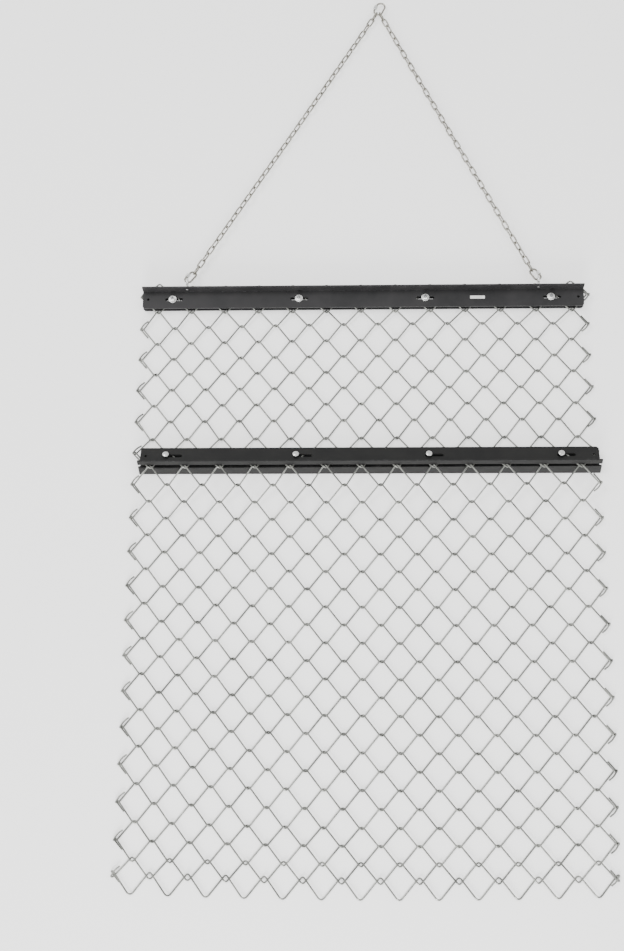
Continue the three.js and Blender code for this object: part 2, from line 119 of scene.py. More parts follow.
SLEEVE_LENGTH = 13 * MM
SLEEVE_MOUTH = 8 * MM  # gap in the link that the sleeve closes

# The mat as the photograph shows it, finer than the solids
TAIL_REACH = (14 * MM, 27 * MM)  # middle and tip of an end tail, folded back beside its straight
TAIL_OFF = {"/": (7 * MM, 3 * MM), "\\": (4.6 * MM, 3.4 * MM)}  # how far off the straight they lie
TAIL_EASE = 6 * MM  # how far from a tail's corner the wire begins to bend
HOOK_HALF = 3.3 * MM  # the hooks are pulled tighter than in the solids
HOOK_REACH = 2.1 * MM  # how far a bend lies past its row's line
HOOK_EASE = 3.2 * MM  # the same at a hook
FREE_EASE = 6.5 * MM  # and at the free bends of the first and last wires
LOOSE_TIPS = {34: 2 * MM, 35: 4.4 * MM, 36: 6 * MM}  # more reach of the last rows, which hang slack
LOOSE_HALF = 2.4 * MM  # rows 34 and 35 are drawn out to narrow rings
FRONT_TUCK = (1.5 * MM, 7.5 * MM)  # how far the first wire's free bends lie back, outer and inner
OUTER_BENDS = 3  # at each end of the first wire
# How the used mat has settled off the straight rows of the solids: a row, and how many millimetres
# its left end, middle and right end lie to the right, then ahead. Rows on the bars haven't moved.
SETTLED = (
    (2, (0, 0, 0), (0, 0, 0)),
    (3, (2, 0, -4), (-3, 8, 6)),
    (5, (1, 0, -4), (1, 8, 8)),
    (7, (-1, 1, -2), (3, 8, 8)),
    (9, (-1, 1, -1), (4, 7, 8)),
    (10, (-2, 0, -2), (0, 2, 4)),
    (11, (0, 0, 0), (0, 0, 0)),
    (12, (0, 0, 0), (0, 0, 0)),
    (13, (0, 4, 2), (0, -3, 2)),
    (15, (-3, 3, 4), (4, -2, 2)),
    (19, (-3, 2, 4), (5, -5, -2)),
    (23, (-2, 3, 5), (6, -8, -5)),
    (27, (0, 2, 3), (8, -8, -6)),
    (30, (-1, 1, 0), (8, -7, -2)),
    (32, (-1, 0, -3), (8, -6, 4)),
    (34, (-2, -2, -5), (10, 0, 8)),
    (35, (-4, -2, -7), (19, 7, 17)),
    (36, (-4, -4, -8), (28, 17, 28)),
)

# The chain as the photograph shows it, finer than the solids
CHAIN_WIRE = 4 * MM
CHAIN_OUTER_WIDTH = 15.5 * MM
WELD_SWELL = 0.14  # of the wire's radius
WELD_RINGS = (0.16, 0.08, 0, -0.08, -0.16)  # shares of the straight where rings of the weld lie
WELD_RISE = (0.7, 1, 0.7)  # of the swelling, at the inner three of these
CHAIN_TWIST = {"left": math.radians(-24), "right": math.radians(44)}
TWIST_LINKS = 5  # links over which a leg's twist comes in at each end

# Label, bolts and edges, finer than the solids. A cut is how far it goes inwards, then along.
LABEL = (273.5 * MM, 310.5 * MM, -4.0 * MM, 4.2 * MM)  # left, right, rear and front edge
LABEL_ROUND = 1.2 * MM
LABEL_THICK = 0.25 * MM
PLATE_EDGE = 0.6 * MM
STRAP_EDGE = 0.5 * MM
BOLT_EDGE = 0.3 * MM
LEVEL_HEAD_DIA = 15.5 * MM  # the levelling bar's bolts have smaller heads than in the solids
DOME_STEPS = 8
DOME_FLAT = 0.05 * MM  # radius of the flat in the middle of the head
BOLT_PITCH = 1.25 * MM
BOLT_THREAD_DEEP = 0.45 * MM
BOLT_LAST_THREAD = 1 * MM  # from the bolt's end
BOLT_END_DEEP = 0.4 * MM  # how deep the last thread is, where the end is cut
BOLT_END_CUT = (1.2 * MM, 0.8 * MM)
BORE_GAP = 0.1 * MM  # round the bolt in its washer and nut
WASHER_EDGE = 0.3 * MM
NUT_SEAT_CUT = (0.9 * MM, 0.7 * MM)
NUT_TOP_CUT = (1.1 * MM, 0.9 * MM)
NUT_BORE_CUT = (0.4 * MM, 0.5 * MM)

# Eyes and screw links, finer than the solids
EYE_FLARE = (0.6 * MM, 0.5 * MM)  # neck wider than the ring's wire, and begun past its middle
NECK_TAPER = (0.2 * MM, 0.6 * MM)  # neck thinner than the shank, just outside the ring
RIVET_EDGE = (0.8 * MM, 0.3 * MM)  # of the shank's end, set down over the back of the leg
RIVET_EDGE_ABOVE = 0.2 * MM  # where that edge begins, within the leg
RIVET_CROWN = 0.5 * MM  # its height, and the radius of its flat
COLLAR_EDGE = 0.4 * MM
COLLAR_SUNK = 0.2 * MM  # into the shank
QUICK_PITCH = 0.8 * MM
QUICK_THREAD = (0.05 * MM, 0.45 * MM)  # its crests and roots, under the wire's surface
QUICK_THREAD_SHOWS = 2.2 * MM  # past the sleeve
SLEEVE_BORE_GAP = 0.2 * MM
SLEEVE_CUT = (1.1 * MM, 1.2 * MM)

# Sides and steps of round shapes, and angles in degrees from which an edge is crisp or broken
WIRE_SIDES = 10
RING_SIDES = 14
RING_STEPS = 32
BOW_STEPS = 9
QUICK_BOW_STEPS = 14
HEAD_SIDES = 40
COLLAR_SIDES = 36
SHANK_SIDES = 24
HEXAGON = 6
LABEL_STEPS = 4
PLATE_CRISP = 35
LINK_CRISP = 60
BEVEL_ANGLE = 40
SAME_PLACE = 0.1 * MM  # points of a path that are nearer than this are one
NEARLY_UPRIGHT = 0.9  # Z of a direction

# Studio and camera, in metres, watts and degrees
FLOOR_HALF = 15
LIGHTS = (  # name, place, target, width and power
    ("soft_key", (-2.6, 1.2, 4.2), (0, -0.4, 0), 2.4, 120),
    ("soft_fill", (2.8, -1.6, 3.8), (0, -0.4, 0), 2.4, 50),
    ("soft_rear", (-0.6, -4.6, 1.7), (0, -0.2, 0), 2.0, 220),
)
CAMERA_PLACE = (-0.0039, -1.5513, 3.3)
CAMERA_TURNS = (18.1614, -1.9882, 0.4824)  # tilt, swing and roll
FOCAL_PIXELS = 1416.5
PICTURE_HIGH = 951
SENSOR_HIGH = 36
VIEW_END = 60

# Worked out from these
WIRE_RADIUS = WIRE_DIA / 2
LEG_OFFSET = (WIRE_DIA + WIRE_GAP) / 2
MAT_HALF = LEG_OFFSET + WIRE_RADIUS
MID_BEND = (BENDS - 1) / 2
FLOOR_Z = -SEAT_GAP - HEAD_HIGH
TOW_MAT_Z = PLATE + SEAT_GAP + MAT_HALF
GROUND_MAT_Z = FLOOR_Z + MAT_HALF
PLATE_LOW = MAT_HALF + SEAT_GAP
GRIP = 2 * (PLATE_LOW + PLATE)
SLOT_PLACES = [share * BAR_LENGTH for share in SLOT_SHARES]
EYE_PLACE = BAR_LENGTH / 2 - EYE_INSET
EYE_TO_FACE = EYE_HOLE / 2 + EYE_WIRE + EYE_NECK + WASHER + SEAT_GAP


def colour(code):
    """Linear colour of an sRGB hex code."""
    shares = [int(code[i : i + 2], 16) / 255 for i in (1, 3, 5)]
    return tuple(s / 12.92 if s <= 0.04045 else ((s + 0.055) / 1.055) ** 2.4 for s in shares) + (1,)


def picket_pitch(picket):
    """Reach of a wire from its front hooks to its rear ones."""
    return FRONT_PITCH + (REAR_PITCH - FRONT_PITCH) * (picket - 1) / (PICKETS - 1)


def bend_x(row, bend):
    """Where a bend of a row lies from left to right."""
    pitch = FRONT_PITCH + (REAR_PITCH - FRONT_PITCH) * row / PICKETS
    share = (bend - MID_BEND) / MID_BEND
    across = math.sqrt(SIDE_LENGTH**2 - pitch**2)
    return MAT_SHIFT + share * MID_BEND * across + SIDE_DRIFT * share**2


def settled(row, bend):
    """How far a hook lies to the right of its place in the solids, and ahead of it."""
    above = max((line for line in SETTLED if line[0] <= row), default=SETTLED[0])
    below = min((line for line in SETTLED if line[0] >= row), default=SETTLED[-1])
    part = (row - above[0]) / max(1, below[0] - above[0])
    share = (bend - MID_BEND) / MID_BEND
    moves = []
    for near, far in zip(above[1:], below[1:]):
        left, middle, right = (MM * (a + (b - a) * part) for a, b in zip(near, far))
        lean, bow = (right - left) / 2, (left + right) / 2 - middle
        moves.append(middle + lean * share + bow * share**2)
    return moves


def level_bar_lie():
    """How far the levelling bar lies behind its hinge row, and how far it leans."""
    span = picket_pitch(HINGE_ROW + 1) + picket_pitch(RIDGE_ROW)
    setback = span - RIDGE_AHEAD - BAR_WIDTH
    down = PLATE_LOW + BLADE_HEIGHT
    back = setback + BAR_WIDTH - PLATE
    fall = GROUND_MAT_Z + LEVEL_TIP_LIFT - FLOOR_Z - GROUND_GAP
    return setback, math.acos(fall / math.hypot(down, back)) - math.atan2(back, down)


LEVEL_SETBACK, LEVEL_LEAN = level_bar_lie()


def lay_rows():
    """Where each row of hooks lies, the front row first."""
    tip_z = GROUND_MAT_Z + LEVEL_TIP_LIFT
    rise = math.sin(LEVEL_LEAN)
    ridge_z = tip_z + (picket_pitch(HINGE_ROW + 1) + picket_pitch(RIDGE_ROW)) * rise
    laid = [(TOW_ROW_AHEAD + picket_pitch(1) - FRONT_SLACK, TOW_MAT_Z)]
    for row in range(1, PICKETS + 1):
        y, last_z = laid[-1]
        z = GROUND_MAT_Z
        if row <= TOW_WIRES:
            z = TOW_MAT_Z
        elif row < TOW_WIRES + DROP_ROWS:
            z = TOW_MAT_Z + (GROUND_MAT_Z - TOW_MAT_Z) * (row - TOW_WIRES) / DROP_ROWS
        elif row == HINGE_ROW:
            z = tip_z
        elif row == HINGE_ROW + 1:
            z = tip_z + picket_pitch(row) * rise
        elif row == RIDGE_ROW:
            z = ridge_z
        elif RIDGE_ROW < row < RIDGE_ROW + DROP_ROWS:
            z = ridge_z + (GROUND_MAT_Z - ridge_z) * (row - RIDGE_ROW) / DROP_ROWS
        if row == 1:
            y = TOW_ROW_AHEAD
        else:
            y -= math.sqrt(picket_pitch(row) ** 2 - (z - last_z) ** 2)
        laid.append((y, z))
    return laid


ROWS = lay_rows()
LEVEL_MIDDLE = -LEVEL_SETBACK - BAR_WIDTH / 2
LEVEL_BAR = Matrix.Translation((0, *ROWS[HINGE_ROW])) @ Matrix.Rotation(-LEVEL_LEAN, 4, "X")


# Shapes, as lists of points and faces
def skin(rings, sides, closed):
    """Faces between rings of points, each to the next. Closed joins the last ring to the first."""
    faces = []
    for ring in range(rings if closed else rings - 1):
        near, far = ring * sides, (ring + 1) % rings * sides
        for side in range(sides):
            step = (side + 1) % sides
            faces.append((near + side, near + step, far + step, far + side))
    if not closed:
        faces.append(tuple(reversed(range(sides))))
        faces.append(tuple(range((rings - 1) * sides, rings * sides)))
    return faces


def tube(points, radii, sides, closed=False):
    """A round wire along points, with its radius at each of them."""
    count = len(points)
    places = []
    facing = None
    for i, point in enumerate(points):
        before = points[i - 1] if closed or i else point
        after = points[(i + 1) % count] if closed or i + 1 < count else point
        along = (after - before).normalized()
        if facing is None:
            facing = Vector((0, 0, 1) if abs(along.z) < NEARLY_UPRIGHT else (1, 0, 0))
        facing = (facing - along * facing.dot(along)).normalized()
        across = along.cross(facing)
        for side in range(sides):
            turn = 2 * math.pi * side / sides
            places.append(point + radii[i] * (facing * math.cos(turn) + across * math.sin(turn)))
    return places, skin(count, sides, closed)


def turned(profile, sides, bored=False):
    """A turned shape round Z from (radius, height) pairs, closed at both ends or round a bore."""
    places = []
    for radius, height in profile:
        for side in range(sides):
            turn = 2 * math.pi * side / sides
            places.append(Vector((radius * math.cos(turn), radius * math.sin(turn), height)))
    return places, skin(len(profile), sides, bored)


def eased(points, cuts, steps=4):
    """The same path with each inner corner bent round, beginning its cut before the corner."""
    path = [points[0]]
    for before, corner, after, cut in zip(points, points[1:], points[2:], cuts):
        start = corner.lerp(before, min(0.5, cut / (before - corner).length))
        end = corner.lerp(after, min(0.5, cut / (after - corner).length))
        for step in range(steps + 1):
            share = step / steps
            place = start.lerp(corner, share).lerp(corner.lerp(end, share), share)
            if (place - path[-1]).length > SAME_PLACE:
                path.append(place)
    path.append(points[-1])
    return path


def extruded(outline, holes, low, high):
    """A flat plate from its outline and holes, as (x, y) lists, between two heights."""
    mesh = bmesh.new()
    edges = []
    for loop in (outline, *holes):
        corners = [mesh.verts.new((x, y, low)) for x, y in loop]
        edges += [mesh.edges.new(pair) for pair in zip(corners, corners[1:] + corners[:1])]
    filled = bmesh.ops.triangle_fill(mesh, edges=edges, use_beauty=True, use_dissolve=False)
    faces = [item for item in filled["geom"] if isinstance(item, bmesh.types.BMFace)]
    lifted = bmesh.ops.extrude_face_region(mesh, geom=faces)
    corners = [item for item in lifted["geom"] if isinstance(item, bmesh.types.BMVert)]
    bmesh.ops.translate(mesh, verts=corners, vec=(0, 0, high - low))
    bmesh.ops.recalc_face_normals(mesh, faces=mesh.faces)
    mesh.verts.index_update()
    shape = [v.co.copy() for v in mesh.verts], [tuple(v.index for v in f.verts) for f in mesh.faces]
    mesh.free()
    return shape


def moved(shape, place):
    return [place @ p for p in shape[0]], shape[1]


def together(*shapes):
    """Several shapes as one."""
    places, faces = [], []
    for some_places, some_faces in shapes:
        start = len(places)
        places += some_places
        faces += [tuple(start + i for i in face) for face in some_faces]
    return places, faces


def mesh_of(name, shape):
    mesh = bpy.data.meshes.new(name)
    mesh.from_pydata(shape[0], [], shape[1])
    return mesh


def in_scene(name, data):
    """A new object in the scene, with its mesh, lamp or camera."""
    made = bpy.data.objects.new(name, data)
    bpy.context.scene.collection.objects.link(made)
    return made


# Pieces
def piece(name, shape, body, nodes, material, crisp=PLATE_CRISP, edge=0):
    """A visible piece on its body, which stands for CAD nodes.

    Faces that meet at more than crisp degrees aren't smoothed. Edge is the radius of broken edges.
    """
    mesh = mesh_of(name, shape)
    mesh.validate()
    made = in_scene(name, mesh)
    mesh.materials.append(material)
    mesh.shade_smooth()
    mesh.set_sharp_from_angle(angle=math.radians(crisp))
    if edge:
        bevel = made.modifiers.new("broken_edges", "BEVEL")
        bevel.width = edge
        bevel.segments = 2
        bevel.limit_method = "ANGLE"
        bevel.angle_limit = math.radians(BEVEL_ANGLE)
        bevel.harden_normals = True
    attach(made, body)
    if nodes:
        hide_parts(*nodes)


def fused(name, first, second):
    """One shape from two that meet, as one closed skin."""
    objects = [in_scene(name, mesh_of(name, shape)) for shape in (first, second)]
    join = objects[0].modifiers.new("fuse", "BOOLEAN")
    join.operation = "UNION"
    join.solver = "EXACT"
    join.object = objects[1]
    whole = objects[0].evaluated_get(bpy.context.evaluated_depsgraph_get()).to_mesh()
    shape = [v.co.copy() for v in whole.vertices], [tuple(f.vertices) for f in whole.polygons]
    for made in objects:
        bpy.data.objects.remove(made)
    return shape


# Materials
def add(material, kind, sockets=(), tones=(), **settings):
    """Adds a node with its settings and links.

    A socket takes a value, or what another node gives. Tones are a ramp's places and colours.
    """
    tree = material.node_tree
    made = tree.nodes.new("ShaderNode" + kind)
    for name, value in settings.items():
        setattr(made, name, value)
    for name, value in dict(sockets).items():
        if isinstance(value, bpy.types.NodeSocket):
            tree.links.new(value, made.inputs[name])
        else:
            made.inputs[name].default_value = value
    for i, (position, code) in enumerate(tones):
        stop = made.color_ramp.elements[i]
        stop.position, stop.color = position, colour(code)
    return made


def finish_of(name, **fixed):
    """A new material with its shader, and the place on the object in metres."""
    material = bpy.data.materials.new(name)
    material.use_nodes = True
    material.node_tree.nodes.clear()
    shader = add(material, "BsdfPrincipled", fixed)
    add(material, "OutputMaterial", {"Surface": shader.outputs["BSDF"]})
    place = add(material, "TexCoord").outputs["Object"]
    return material, shader, place


def feed(material, shader, sockets):
    """Links what nodes give to the shader's sockets."""
    for name, output in sockets.items():
        material.node_tree.links.new(output, shader.inputs[name])


def galvanised_wire():
    """Hot-dip galvanised drawn steel: matt bright grey, soft spangle, dull film in places."""
    material, shader, place = finish_of("galvanised_drawn_wire", Metallic=1.0)
    # Spangle is about 7 mm across, and the film lies in patches of about 60 mm
    spangle = add(material, "TexNoise", {"Vector": place, "Scale": 1 / (7 * MM), "Detail": 3.0})
    film = add(material, "TexNoise", {"Vector": place, "Scale": 1 / (60 * MM), "Detail": 2.0})
    both = {0: spangle.outputs["Fac"], 1: film.outputs["Fac"]}
    dull = add(material, "Math", both, operation="MULTIPLY")
    greys = ((0.12, "#757673"), (0.4, "#a3a49f"))
    tone = add(material, "ValToRGB", {"Fac": dull.outputs[0]}, greys)
    film_range = {"From Min": 0.3, "From Max": 0.7, "To Min": 0.3, "To Max": 0.5}
    rough = add(material, "MapRange", {"Value": film.outputs["Fac"], **film_range})
    # The zinc's runs are about 1 mm
    grain = add(material, "TexNoise", {"Vector": place, "Scale": 1 / (1 * MM), "Detail": 1.0})
    relief = {"Height": grain.outputs["Fac"], "Strength": 0.25, "Distance": 0.1 * MM}
    bump = add(material, "Bump", relief)
    look = {"Base Color": tone.outputs["Color"], "Roughness": rough.outputs[0]}
    feed(material, shader, {**look, "Normal": bump.outputs["Normal"]})
    return material


def black_powder_coat(name, dark, dusty):
    """Powder-coated mild steel: satin black, fine orange peel, dust in places, rubbed edges."""
    material, shader, place = finish_of(name, **{"IOR": 1.5, "Specular IOR Level": 0.28})
    # Dust lies in patches of about 45 mm
    dust = add(material, "TexNoise", {"Vector": place, "Scale": 1 / (45 * MM), "Detail": 5.0})
    blacks = ((0.35, dark), (0.75, dusty))
    coat = add(material, "ValToRGB", {"Fac": dust.outputs["Fac"]}, blacks)
    # Within 0.9 mm of an edge the coat is rubbed through to grey, in scuffs of about 9 mm
    rounded = add(material, "Bevel", {"Radius": 0.9 * MM}, samples=4)
    flat = add(material, "NewGeometry").outputs["True Normal"]
    both = {0: rounded.outputs["Normal"], 1: flat}
    facing = add(material, "VectorMath", both, operation="DOT_PRODUCT")
    edge_range = {"From Min": 0.97, "From Max": 0.8, "To Min": 0.0, "To Max": 1.0}
    edge = add(material, "MapRange", {"Value": facing.outputs["Value"], **edge_range})
    scuffs = add(material, "TexNoise", {"Vector": place, "Scale": 1 / (9 * MM), "Detail": 4.0})
    scuff_range = {"From Min": 0.52, "From Max": 0.62, "To Min": 0.0, "To Max": 0.6}
    rubbed = add(material, "MapRange", {"Value": scuffs.outputs["Fac"], **scuff_range})
    both = {0: edge.outputs[0], 1: rubbed.outputs[0]}
    wear = add(material, "Math", both, operation="MULTIPLY")
    layers = {"Factor": wear.outputs[0], "A": coat.outputs["Color"], "B": colour("#77777a")}
    worn = add(material, "Mix", layers, data_type="RGBA")
    dust_range = {"From Min": 0.3, "From Max": 0.7, "To Min": 0.46, "To Max": 0.6}
    rough = add(material, "MapRange", {"Value": dust.outputs["Fac"], **dust_range})
    # Orange peel is about 1.5 mm from dimple to dimple
    peel = add(material, "TexNoise", {"Vector": place, "Scale": 1 / (1.5 * MM), "Detail": 1.0})
    relief = {"Height": peel.outputs["Fac"], "Strength": 0.2, "Distance": 0.1 * MM}
    bump = add(material, "Bump", relief)
    look = {"Base Color": worn.outputs["Result"], "Roughness": rough.outputs[0]}
    feed(material, shader, {**look, "Normal": bump.outputs["Normal"]})
    return material


def zinc_plate(name, dark, light, dull, shiny):
    """Electroplated zinc: bright, slightly blue or warm, with small dull patches from handling."""
    material, shader, place = finish_of(name, Metallic=1.0)
    # The patches are about 5 mm across
    patches = add(material, "TexNoise", {"Vector": place, "Scale": 1 / (5 * MM), "Detail": 4.0})
    greys = ((0.35, dark), (0.6, light))
    tone = add(material, "ValToRGB", {"Fac": patches.outputs["Fac"]}, greys)
    patch_range = {"From Min": 0.35, "From Max": 0.65, "To Min": dull, "To Max": shiny}
    rough = add(material, "MapRange", {"Value": patches.outputs["Fac"], **patch_range})
    # Marks of rolling and tumbling, about 0.8 mm
    marks = add(material, "TexNoise", {"Vector": place, "Scale": 1 / (0.8 * MM), "Detail": 1.0})
    relief = {"Height": marks.outputs["Fac"], "Strength": 0.2, "Distance": 0.06 * MM}
    bump = add(material, "Bump", relief)
    look = {"Base Color": tone.outputs["Color"], "Roughness": rough.outputs[0]}
    feed(material, shader, {**look, "Normal": bump.outputs["Normal"]})
    return material


def white_vinyl():
    """Label vinyl, left blank: white, a little glossy, slightly grubby."""
    material, shader, place = finish_of("white_vinyl", Metallic=0.0, IOR=1.5, Roughness=0.35)
    # Grime lies in smears of about 12 mm
    grime = add(material, "TexNoise", {"Vector": place, "Scale": 1 / (12 * MM), "Detail": 4.0})
    whites = ((0.3, "#dcdcd8"), (0.6, "#f2f2ef"))
    tone = add(material, "ValToRGB", {"Fac": grime.outputs["Fac"]}, whites)
    relief = {"Height": grime.outputs["Fac"], "Strength": 0.1, "Distance": 0.1 * MM}
    bump = add(material, "Bump", relief)
    look = {"Base Color": tone.outputs["Color"], "Normal": bump.outputs["Normal"]}
    feed(material, shader, look)
    return material


def studio_paper_painted_glow():
    """Seamless white paper with a painted glow standing in for light from beneath, as for a cut-out
    picture: matt, almost white.
    """
    # The paper's emission is painted light: it brightens the floor and lights the mat from below.
    glow = {"Emission Color": colour("#ffffff"), "Emission Strength": 0.8}
    material, shader, place = finish_of("studio_paper_painted_glow", Roughness=0.9, **glow)
    # Fibres are about 3 mm long
    fibres = add(material, "TexNoise", {"Vector": place, "Scale": 1 / (3 * MM), "Detail": 2.0})
    whites = ((0.3, "#f4f4f3"), (0.7, "#f8f8f7"))
    tone = add(material, "ValToRGB", {"Fac": fibres.outputs["Fac"]}, whites)
    feed(material, shader, {"Base Color": tone.outputs["Color"]})
    return material


WIRE_FINISH = galvanised_wire()
BAR_FINISH = black_powder_coat("black_powder_coated_steel_base_tone", "#272728", "#333233")
# Both bars have the same dusty coat. The levelling bar's copy is darker only as painted shade, not
# because it is cleaner.
LEVEL_FINISH = black_powder_coat("black_powder_coated_steel_painted_shade", "#191919", "#222221")
BOLT_FINISH = zinc_plate("bright_zinc_plated_bolts", "#d8d9d7", "#f2f2f0", 0.42, 0.26)
THREAD_FINISH = zinc_plate("dulled_zinc_thread", "#77787a", "#a2a3a3", 0.55, 0.4)
CHAIN_FINISH = zinc_plate("zinc_plated_welded_chain", "#85837c", "#b5b2aa", 0.46, 0.3)
LABEL_FINISH = white_vinyl()


# Mat
def body_of_picket(picket):
    if picket <= TOW_WIRES:
        return "tow_bar"
    return "level_bar" if picket in (HINGE_ROW + 1, RIDGE_ROW) else f"mat_{picket:02d}"


def end_tail(out):
    """Two points of an end tail, outside the first straight.

    They are given inwards and along from the middle of the tail's hook.
    """
    rise = FRONT_PITCH + 2 * LEG_OFFSET
    slope = math.atan2(rise, bend_x(0, 1) - bend_x(0, 0) - 2 * TIP_HALF)
    points = []
    for reach, off in zip(TAIL_REACH, TAIL_OFF["/" if out > 0 else "\\"]):
        inward = TIP_HALF + reach * math.cos(slope) - off * math.sin(slope)
        points.append((inward, reach * math.sin(slope) + off * math.cos(slope)))
    return points


def picket_path(picket):
    """Middle line of one zigzag wire. Straights that run down to the right lie on top."""
    front, rear = (Vector((0, *ROWS[row])) for row in (picket - 1, picket))
    back = (rear - front).normalized()
    up = Vector((0, back.z, -back.y))
    points, cuts = [], []
    for bend in range(BENDS):
        on_rear = (bend % 2 == 0) == (picket % 2 == 1)
        row = picket if on_rear else picket - 1
        out = 1 if on_rear else -1
        x = bend_x(row, bend)
        reach = out * (HOOK_REACH + LOOSE_TIPS.get(row, 0))
        if row == 0:
            inner = min(bend, BENDS - 1 - bend) >= OUTER_BENDS
            reach += FRONT_TUCK[inner]
        half = TIP_HALF if row == PICKETS else LOOSE_HALF if row in LOOSE_TIPS else HOOK_HALF
        cut = FREE_EASE if row in (0, PICKETS) else HOOK_EASE
        high, low = out * LEG_OFFSET, -out * LEG_OFFSET
        run = [(x - half, reach, high, cut), (x + half, reach, low, cut)]
        if bend == 0:
            for inward, along in end_tail(out):
                run.insert(0, (x + inward, reach - out * along, high, TAIL_EASE))
        if bend == BENDS - 1:
            for inward, along in end_tail(-out):
                run.append((x - inward, reach - out * along, low, TAIL_EASE))
        right, ahead = settled(row, bend) if row > TOW_WIRES else (0, 0)
        y, z = ROWS[row]
        for place, along, height, ease in run:
            points.append(Vector((place + right, y + ahead, z)) + back * along + up * height)
            cuts.append(ease)
    return eased(points, cuts[1:-1])


def make_mat():
    for picket in range(1, PICKETS + 1):
        path = picket_path(picket)
        shape = tube(path, [WIRE_RADIUS] * len(path), WIRE_SIDES)
        name, node = f"zigzag_wire_{picket:02d}", f"picket_{picket:02d}"
        piece(name, shape, body_of_picket(picket), [node], WIRE_FINISH)


# Bars
def round_loop(x, y, radius, stretch=0, corners=24):
    """Points round a hole, or round a slot that is stretched along X."""
    points = []
    for corner in range(corners):
        turn = 2 * math.pi * (corner + 0.5) / corners
        shift = math.copysign(stretch / 2, math.cos(turn))
        points.append((x + shift + radius * math.cos(turn), y + radius * math.sin(turn)))
    return points


def slotted_plate(free_side):
    """A bar's plate. Its cut corners are on the free side, 1 for the front and -1 for the rear."""
    end, edge = BAR_LENGTH / 2, free_side * BAR_WIDTH / 2
    cut = edge - free_side * CORNER_CUT
    outline = [
        (-end, -edge),
        (-end, cut),
        (-end + CORNER_CUT, edge),
        (end - CORNER_CUT, edge),
        (end, cut),
        (end, -edge),
    ]
    holes = [round_loop(x, 0, SLOT_WIDTH / 2, SLOT_LENGTH - SLOT_WIDTH) for x in SLOT_PLACES]
    holes += [round_loop(side * (end - END_HOLE_INSET), 0, END_HOLE_DIA / 2) for side in (-1, 1)]
    return extruded(outline, holes, 0, PLATE)


def leg(height, overhang, holes=()):
    """A leg from Z 0 to its height and from Y 0 back by its thickness, with holes across it."""
    half = BAR_LENGTH / 2 + overhang
    outline = [(-half, 0), (half, 0), (half, height), (-half, height)]
    loops = [round_loop(x, height / 2, BOLT_DIA / 2 + SEAT_GAP) for x in holes]
    return moved(extruded(outline, loops, 0, PLATE), Matrix.Rotation(math.pi / 2, 4, "X"))


def make_bars():
    shift = Matrix.Translation
    rear = -BAR_WIDTH / 2 + PLATE
    strap = slotted_plate(-1)
    tow_leg = moved(leg(BLADE_HEIGHT, 0, (-EYE_PLACE, EYE_PLACE)), shift((0, BAR_WIDTH / 2, 0)))
    angle = fused("tow_angle", slotted_plate(-1), tow_leg)
    angle = moved(angle, shift((0, 0, TOW_MAT_Z + PLATE_LOW)))
    lip = moved(leg(LIP_HEIGHT, BLADE_OVERHANG), shift((0, rear, 0)))
    lipped = fused("level_strap", slotted_plate(1), lip)
    lipped = moved(lipped, LEVEL_BAR @ shift((LEVEL_BAR_SHIFT, LEVEL_MIDDLE, PLATE_LOW)))
    blade = moved(leg(BLADE_HEIGHT, BLADE_OVERHANG), shift((0, rear, PLATE - BLADE_HEIGHT)))
    bladed = fused("level_blade", slotted_plate(1), blade)
    bladed = moved(bladed, LEVEL_BAR @ shift((LEVEL_BAR_SHIFT, LEVEL_MIDDLE, -PLATE_LOW - PLATE)))
    for name, shape, body, node, finish, edge in (
        ("tow_strap", strap, "tow_bar", "tow_clamp_strap", BAR_FINISH, STRAP_EDGE),
        ("tow_angle_bar", angle, "tow_bar", "tow_angle", BAR_FINISH, PLATE_EDGE),
        ("levelling_strap", lipped, "level_bar", "level_clamp_strap", LEVEL_FINISH, PLATE_EDGE),
        ("levelling_blade", bladed, "level_bar", "level_angle", LEVEL_FINISH, PLATE_EDGE),
    ):
        piece(name, shape, body, [node], finish, edge=edge)


def make_label():
    left, right, rear, front = LABEL
    corners = []
    for first, (x, y) in enumerate(((right, front), (left, front), (left, rear), (right, rear))):
        inner_x = x - math.copysign(LABEL_ROUND, x - (left + right) / 2)
        inner_y = y - math.copysign(LABEL_ROUND, y - (rear + front) / 2)
        for step in range(LABEL_STEPS + 1):
            turn = (first + step / LABEL_STEPS) * math.pi / 2
            across, upward = LABEL_ROUND * math.cos(turn), LABEL_ROUND * math.sin(turn)
            corners.append((inner_x + across, inner_y + upward))
    top = TOW_MAT_Z + PLATE_LOW + PLATE
    shape = extruded(corners, [], top, top + LABEL_THICK)
    piece("blank_label", shape, "tow_bar", [], LABEL_FINISH)


# Bolts
def bolt_head(radius, bear):
    """Domed head under the height where it bears."""
    dome = [(radius, bear), (radius, bear - HEAD_EDGE)]
    for step in range(1, DOME_STEPS):
        turn = step / DOME_STEPS * math.pi / 2
        height = bear - HEAD_EDGE - (HEAD_HIGH - HEAD_EDGE) * math.sin(turn)
        dome.append((radius * math.cos(turn), height))
    dome.append((DOME_FLAT, bear - HEAD_HIGH))
    return turned([(BOLT_DIA / 2, bear)] + dome, HEAD_SIDES)


def bolt_shank(bear):
    """Threaded shank, from where the head bears to the end past the nut."""
    radius, height = BOLT_DIA / 2, GRIP + SEAT_GAP
    end = height + WASHER + NUT_HIGH + BOLT_END
    profile = [(radius, bear)]
    while height + BOLT_PITCH < end - BOLT_LAST_THREAD:
        profile += [(radius - BOLT_THREAD_DEEP, height), (radius, height + BOLT_PITCH / 2)]
        height += BOLT_PITCH
    inwards, along = BOLT_END_CUT
    profile += [(radius - BOLT_END_DEEP, end - along), (radius - inwards, end)]
    return turned(profile, SHANK_SIDES)


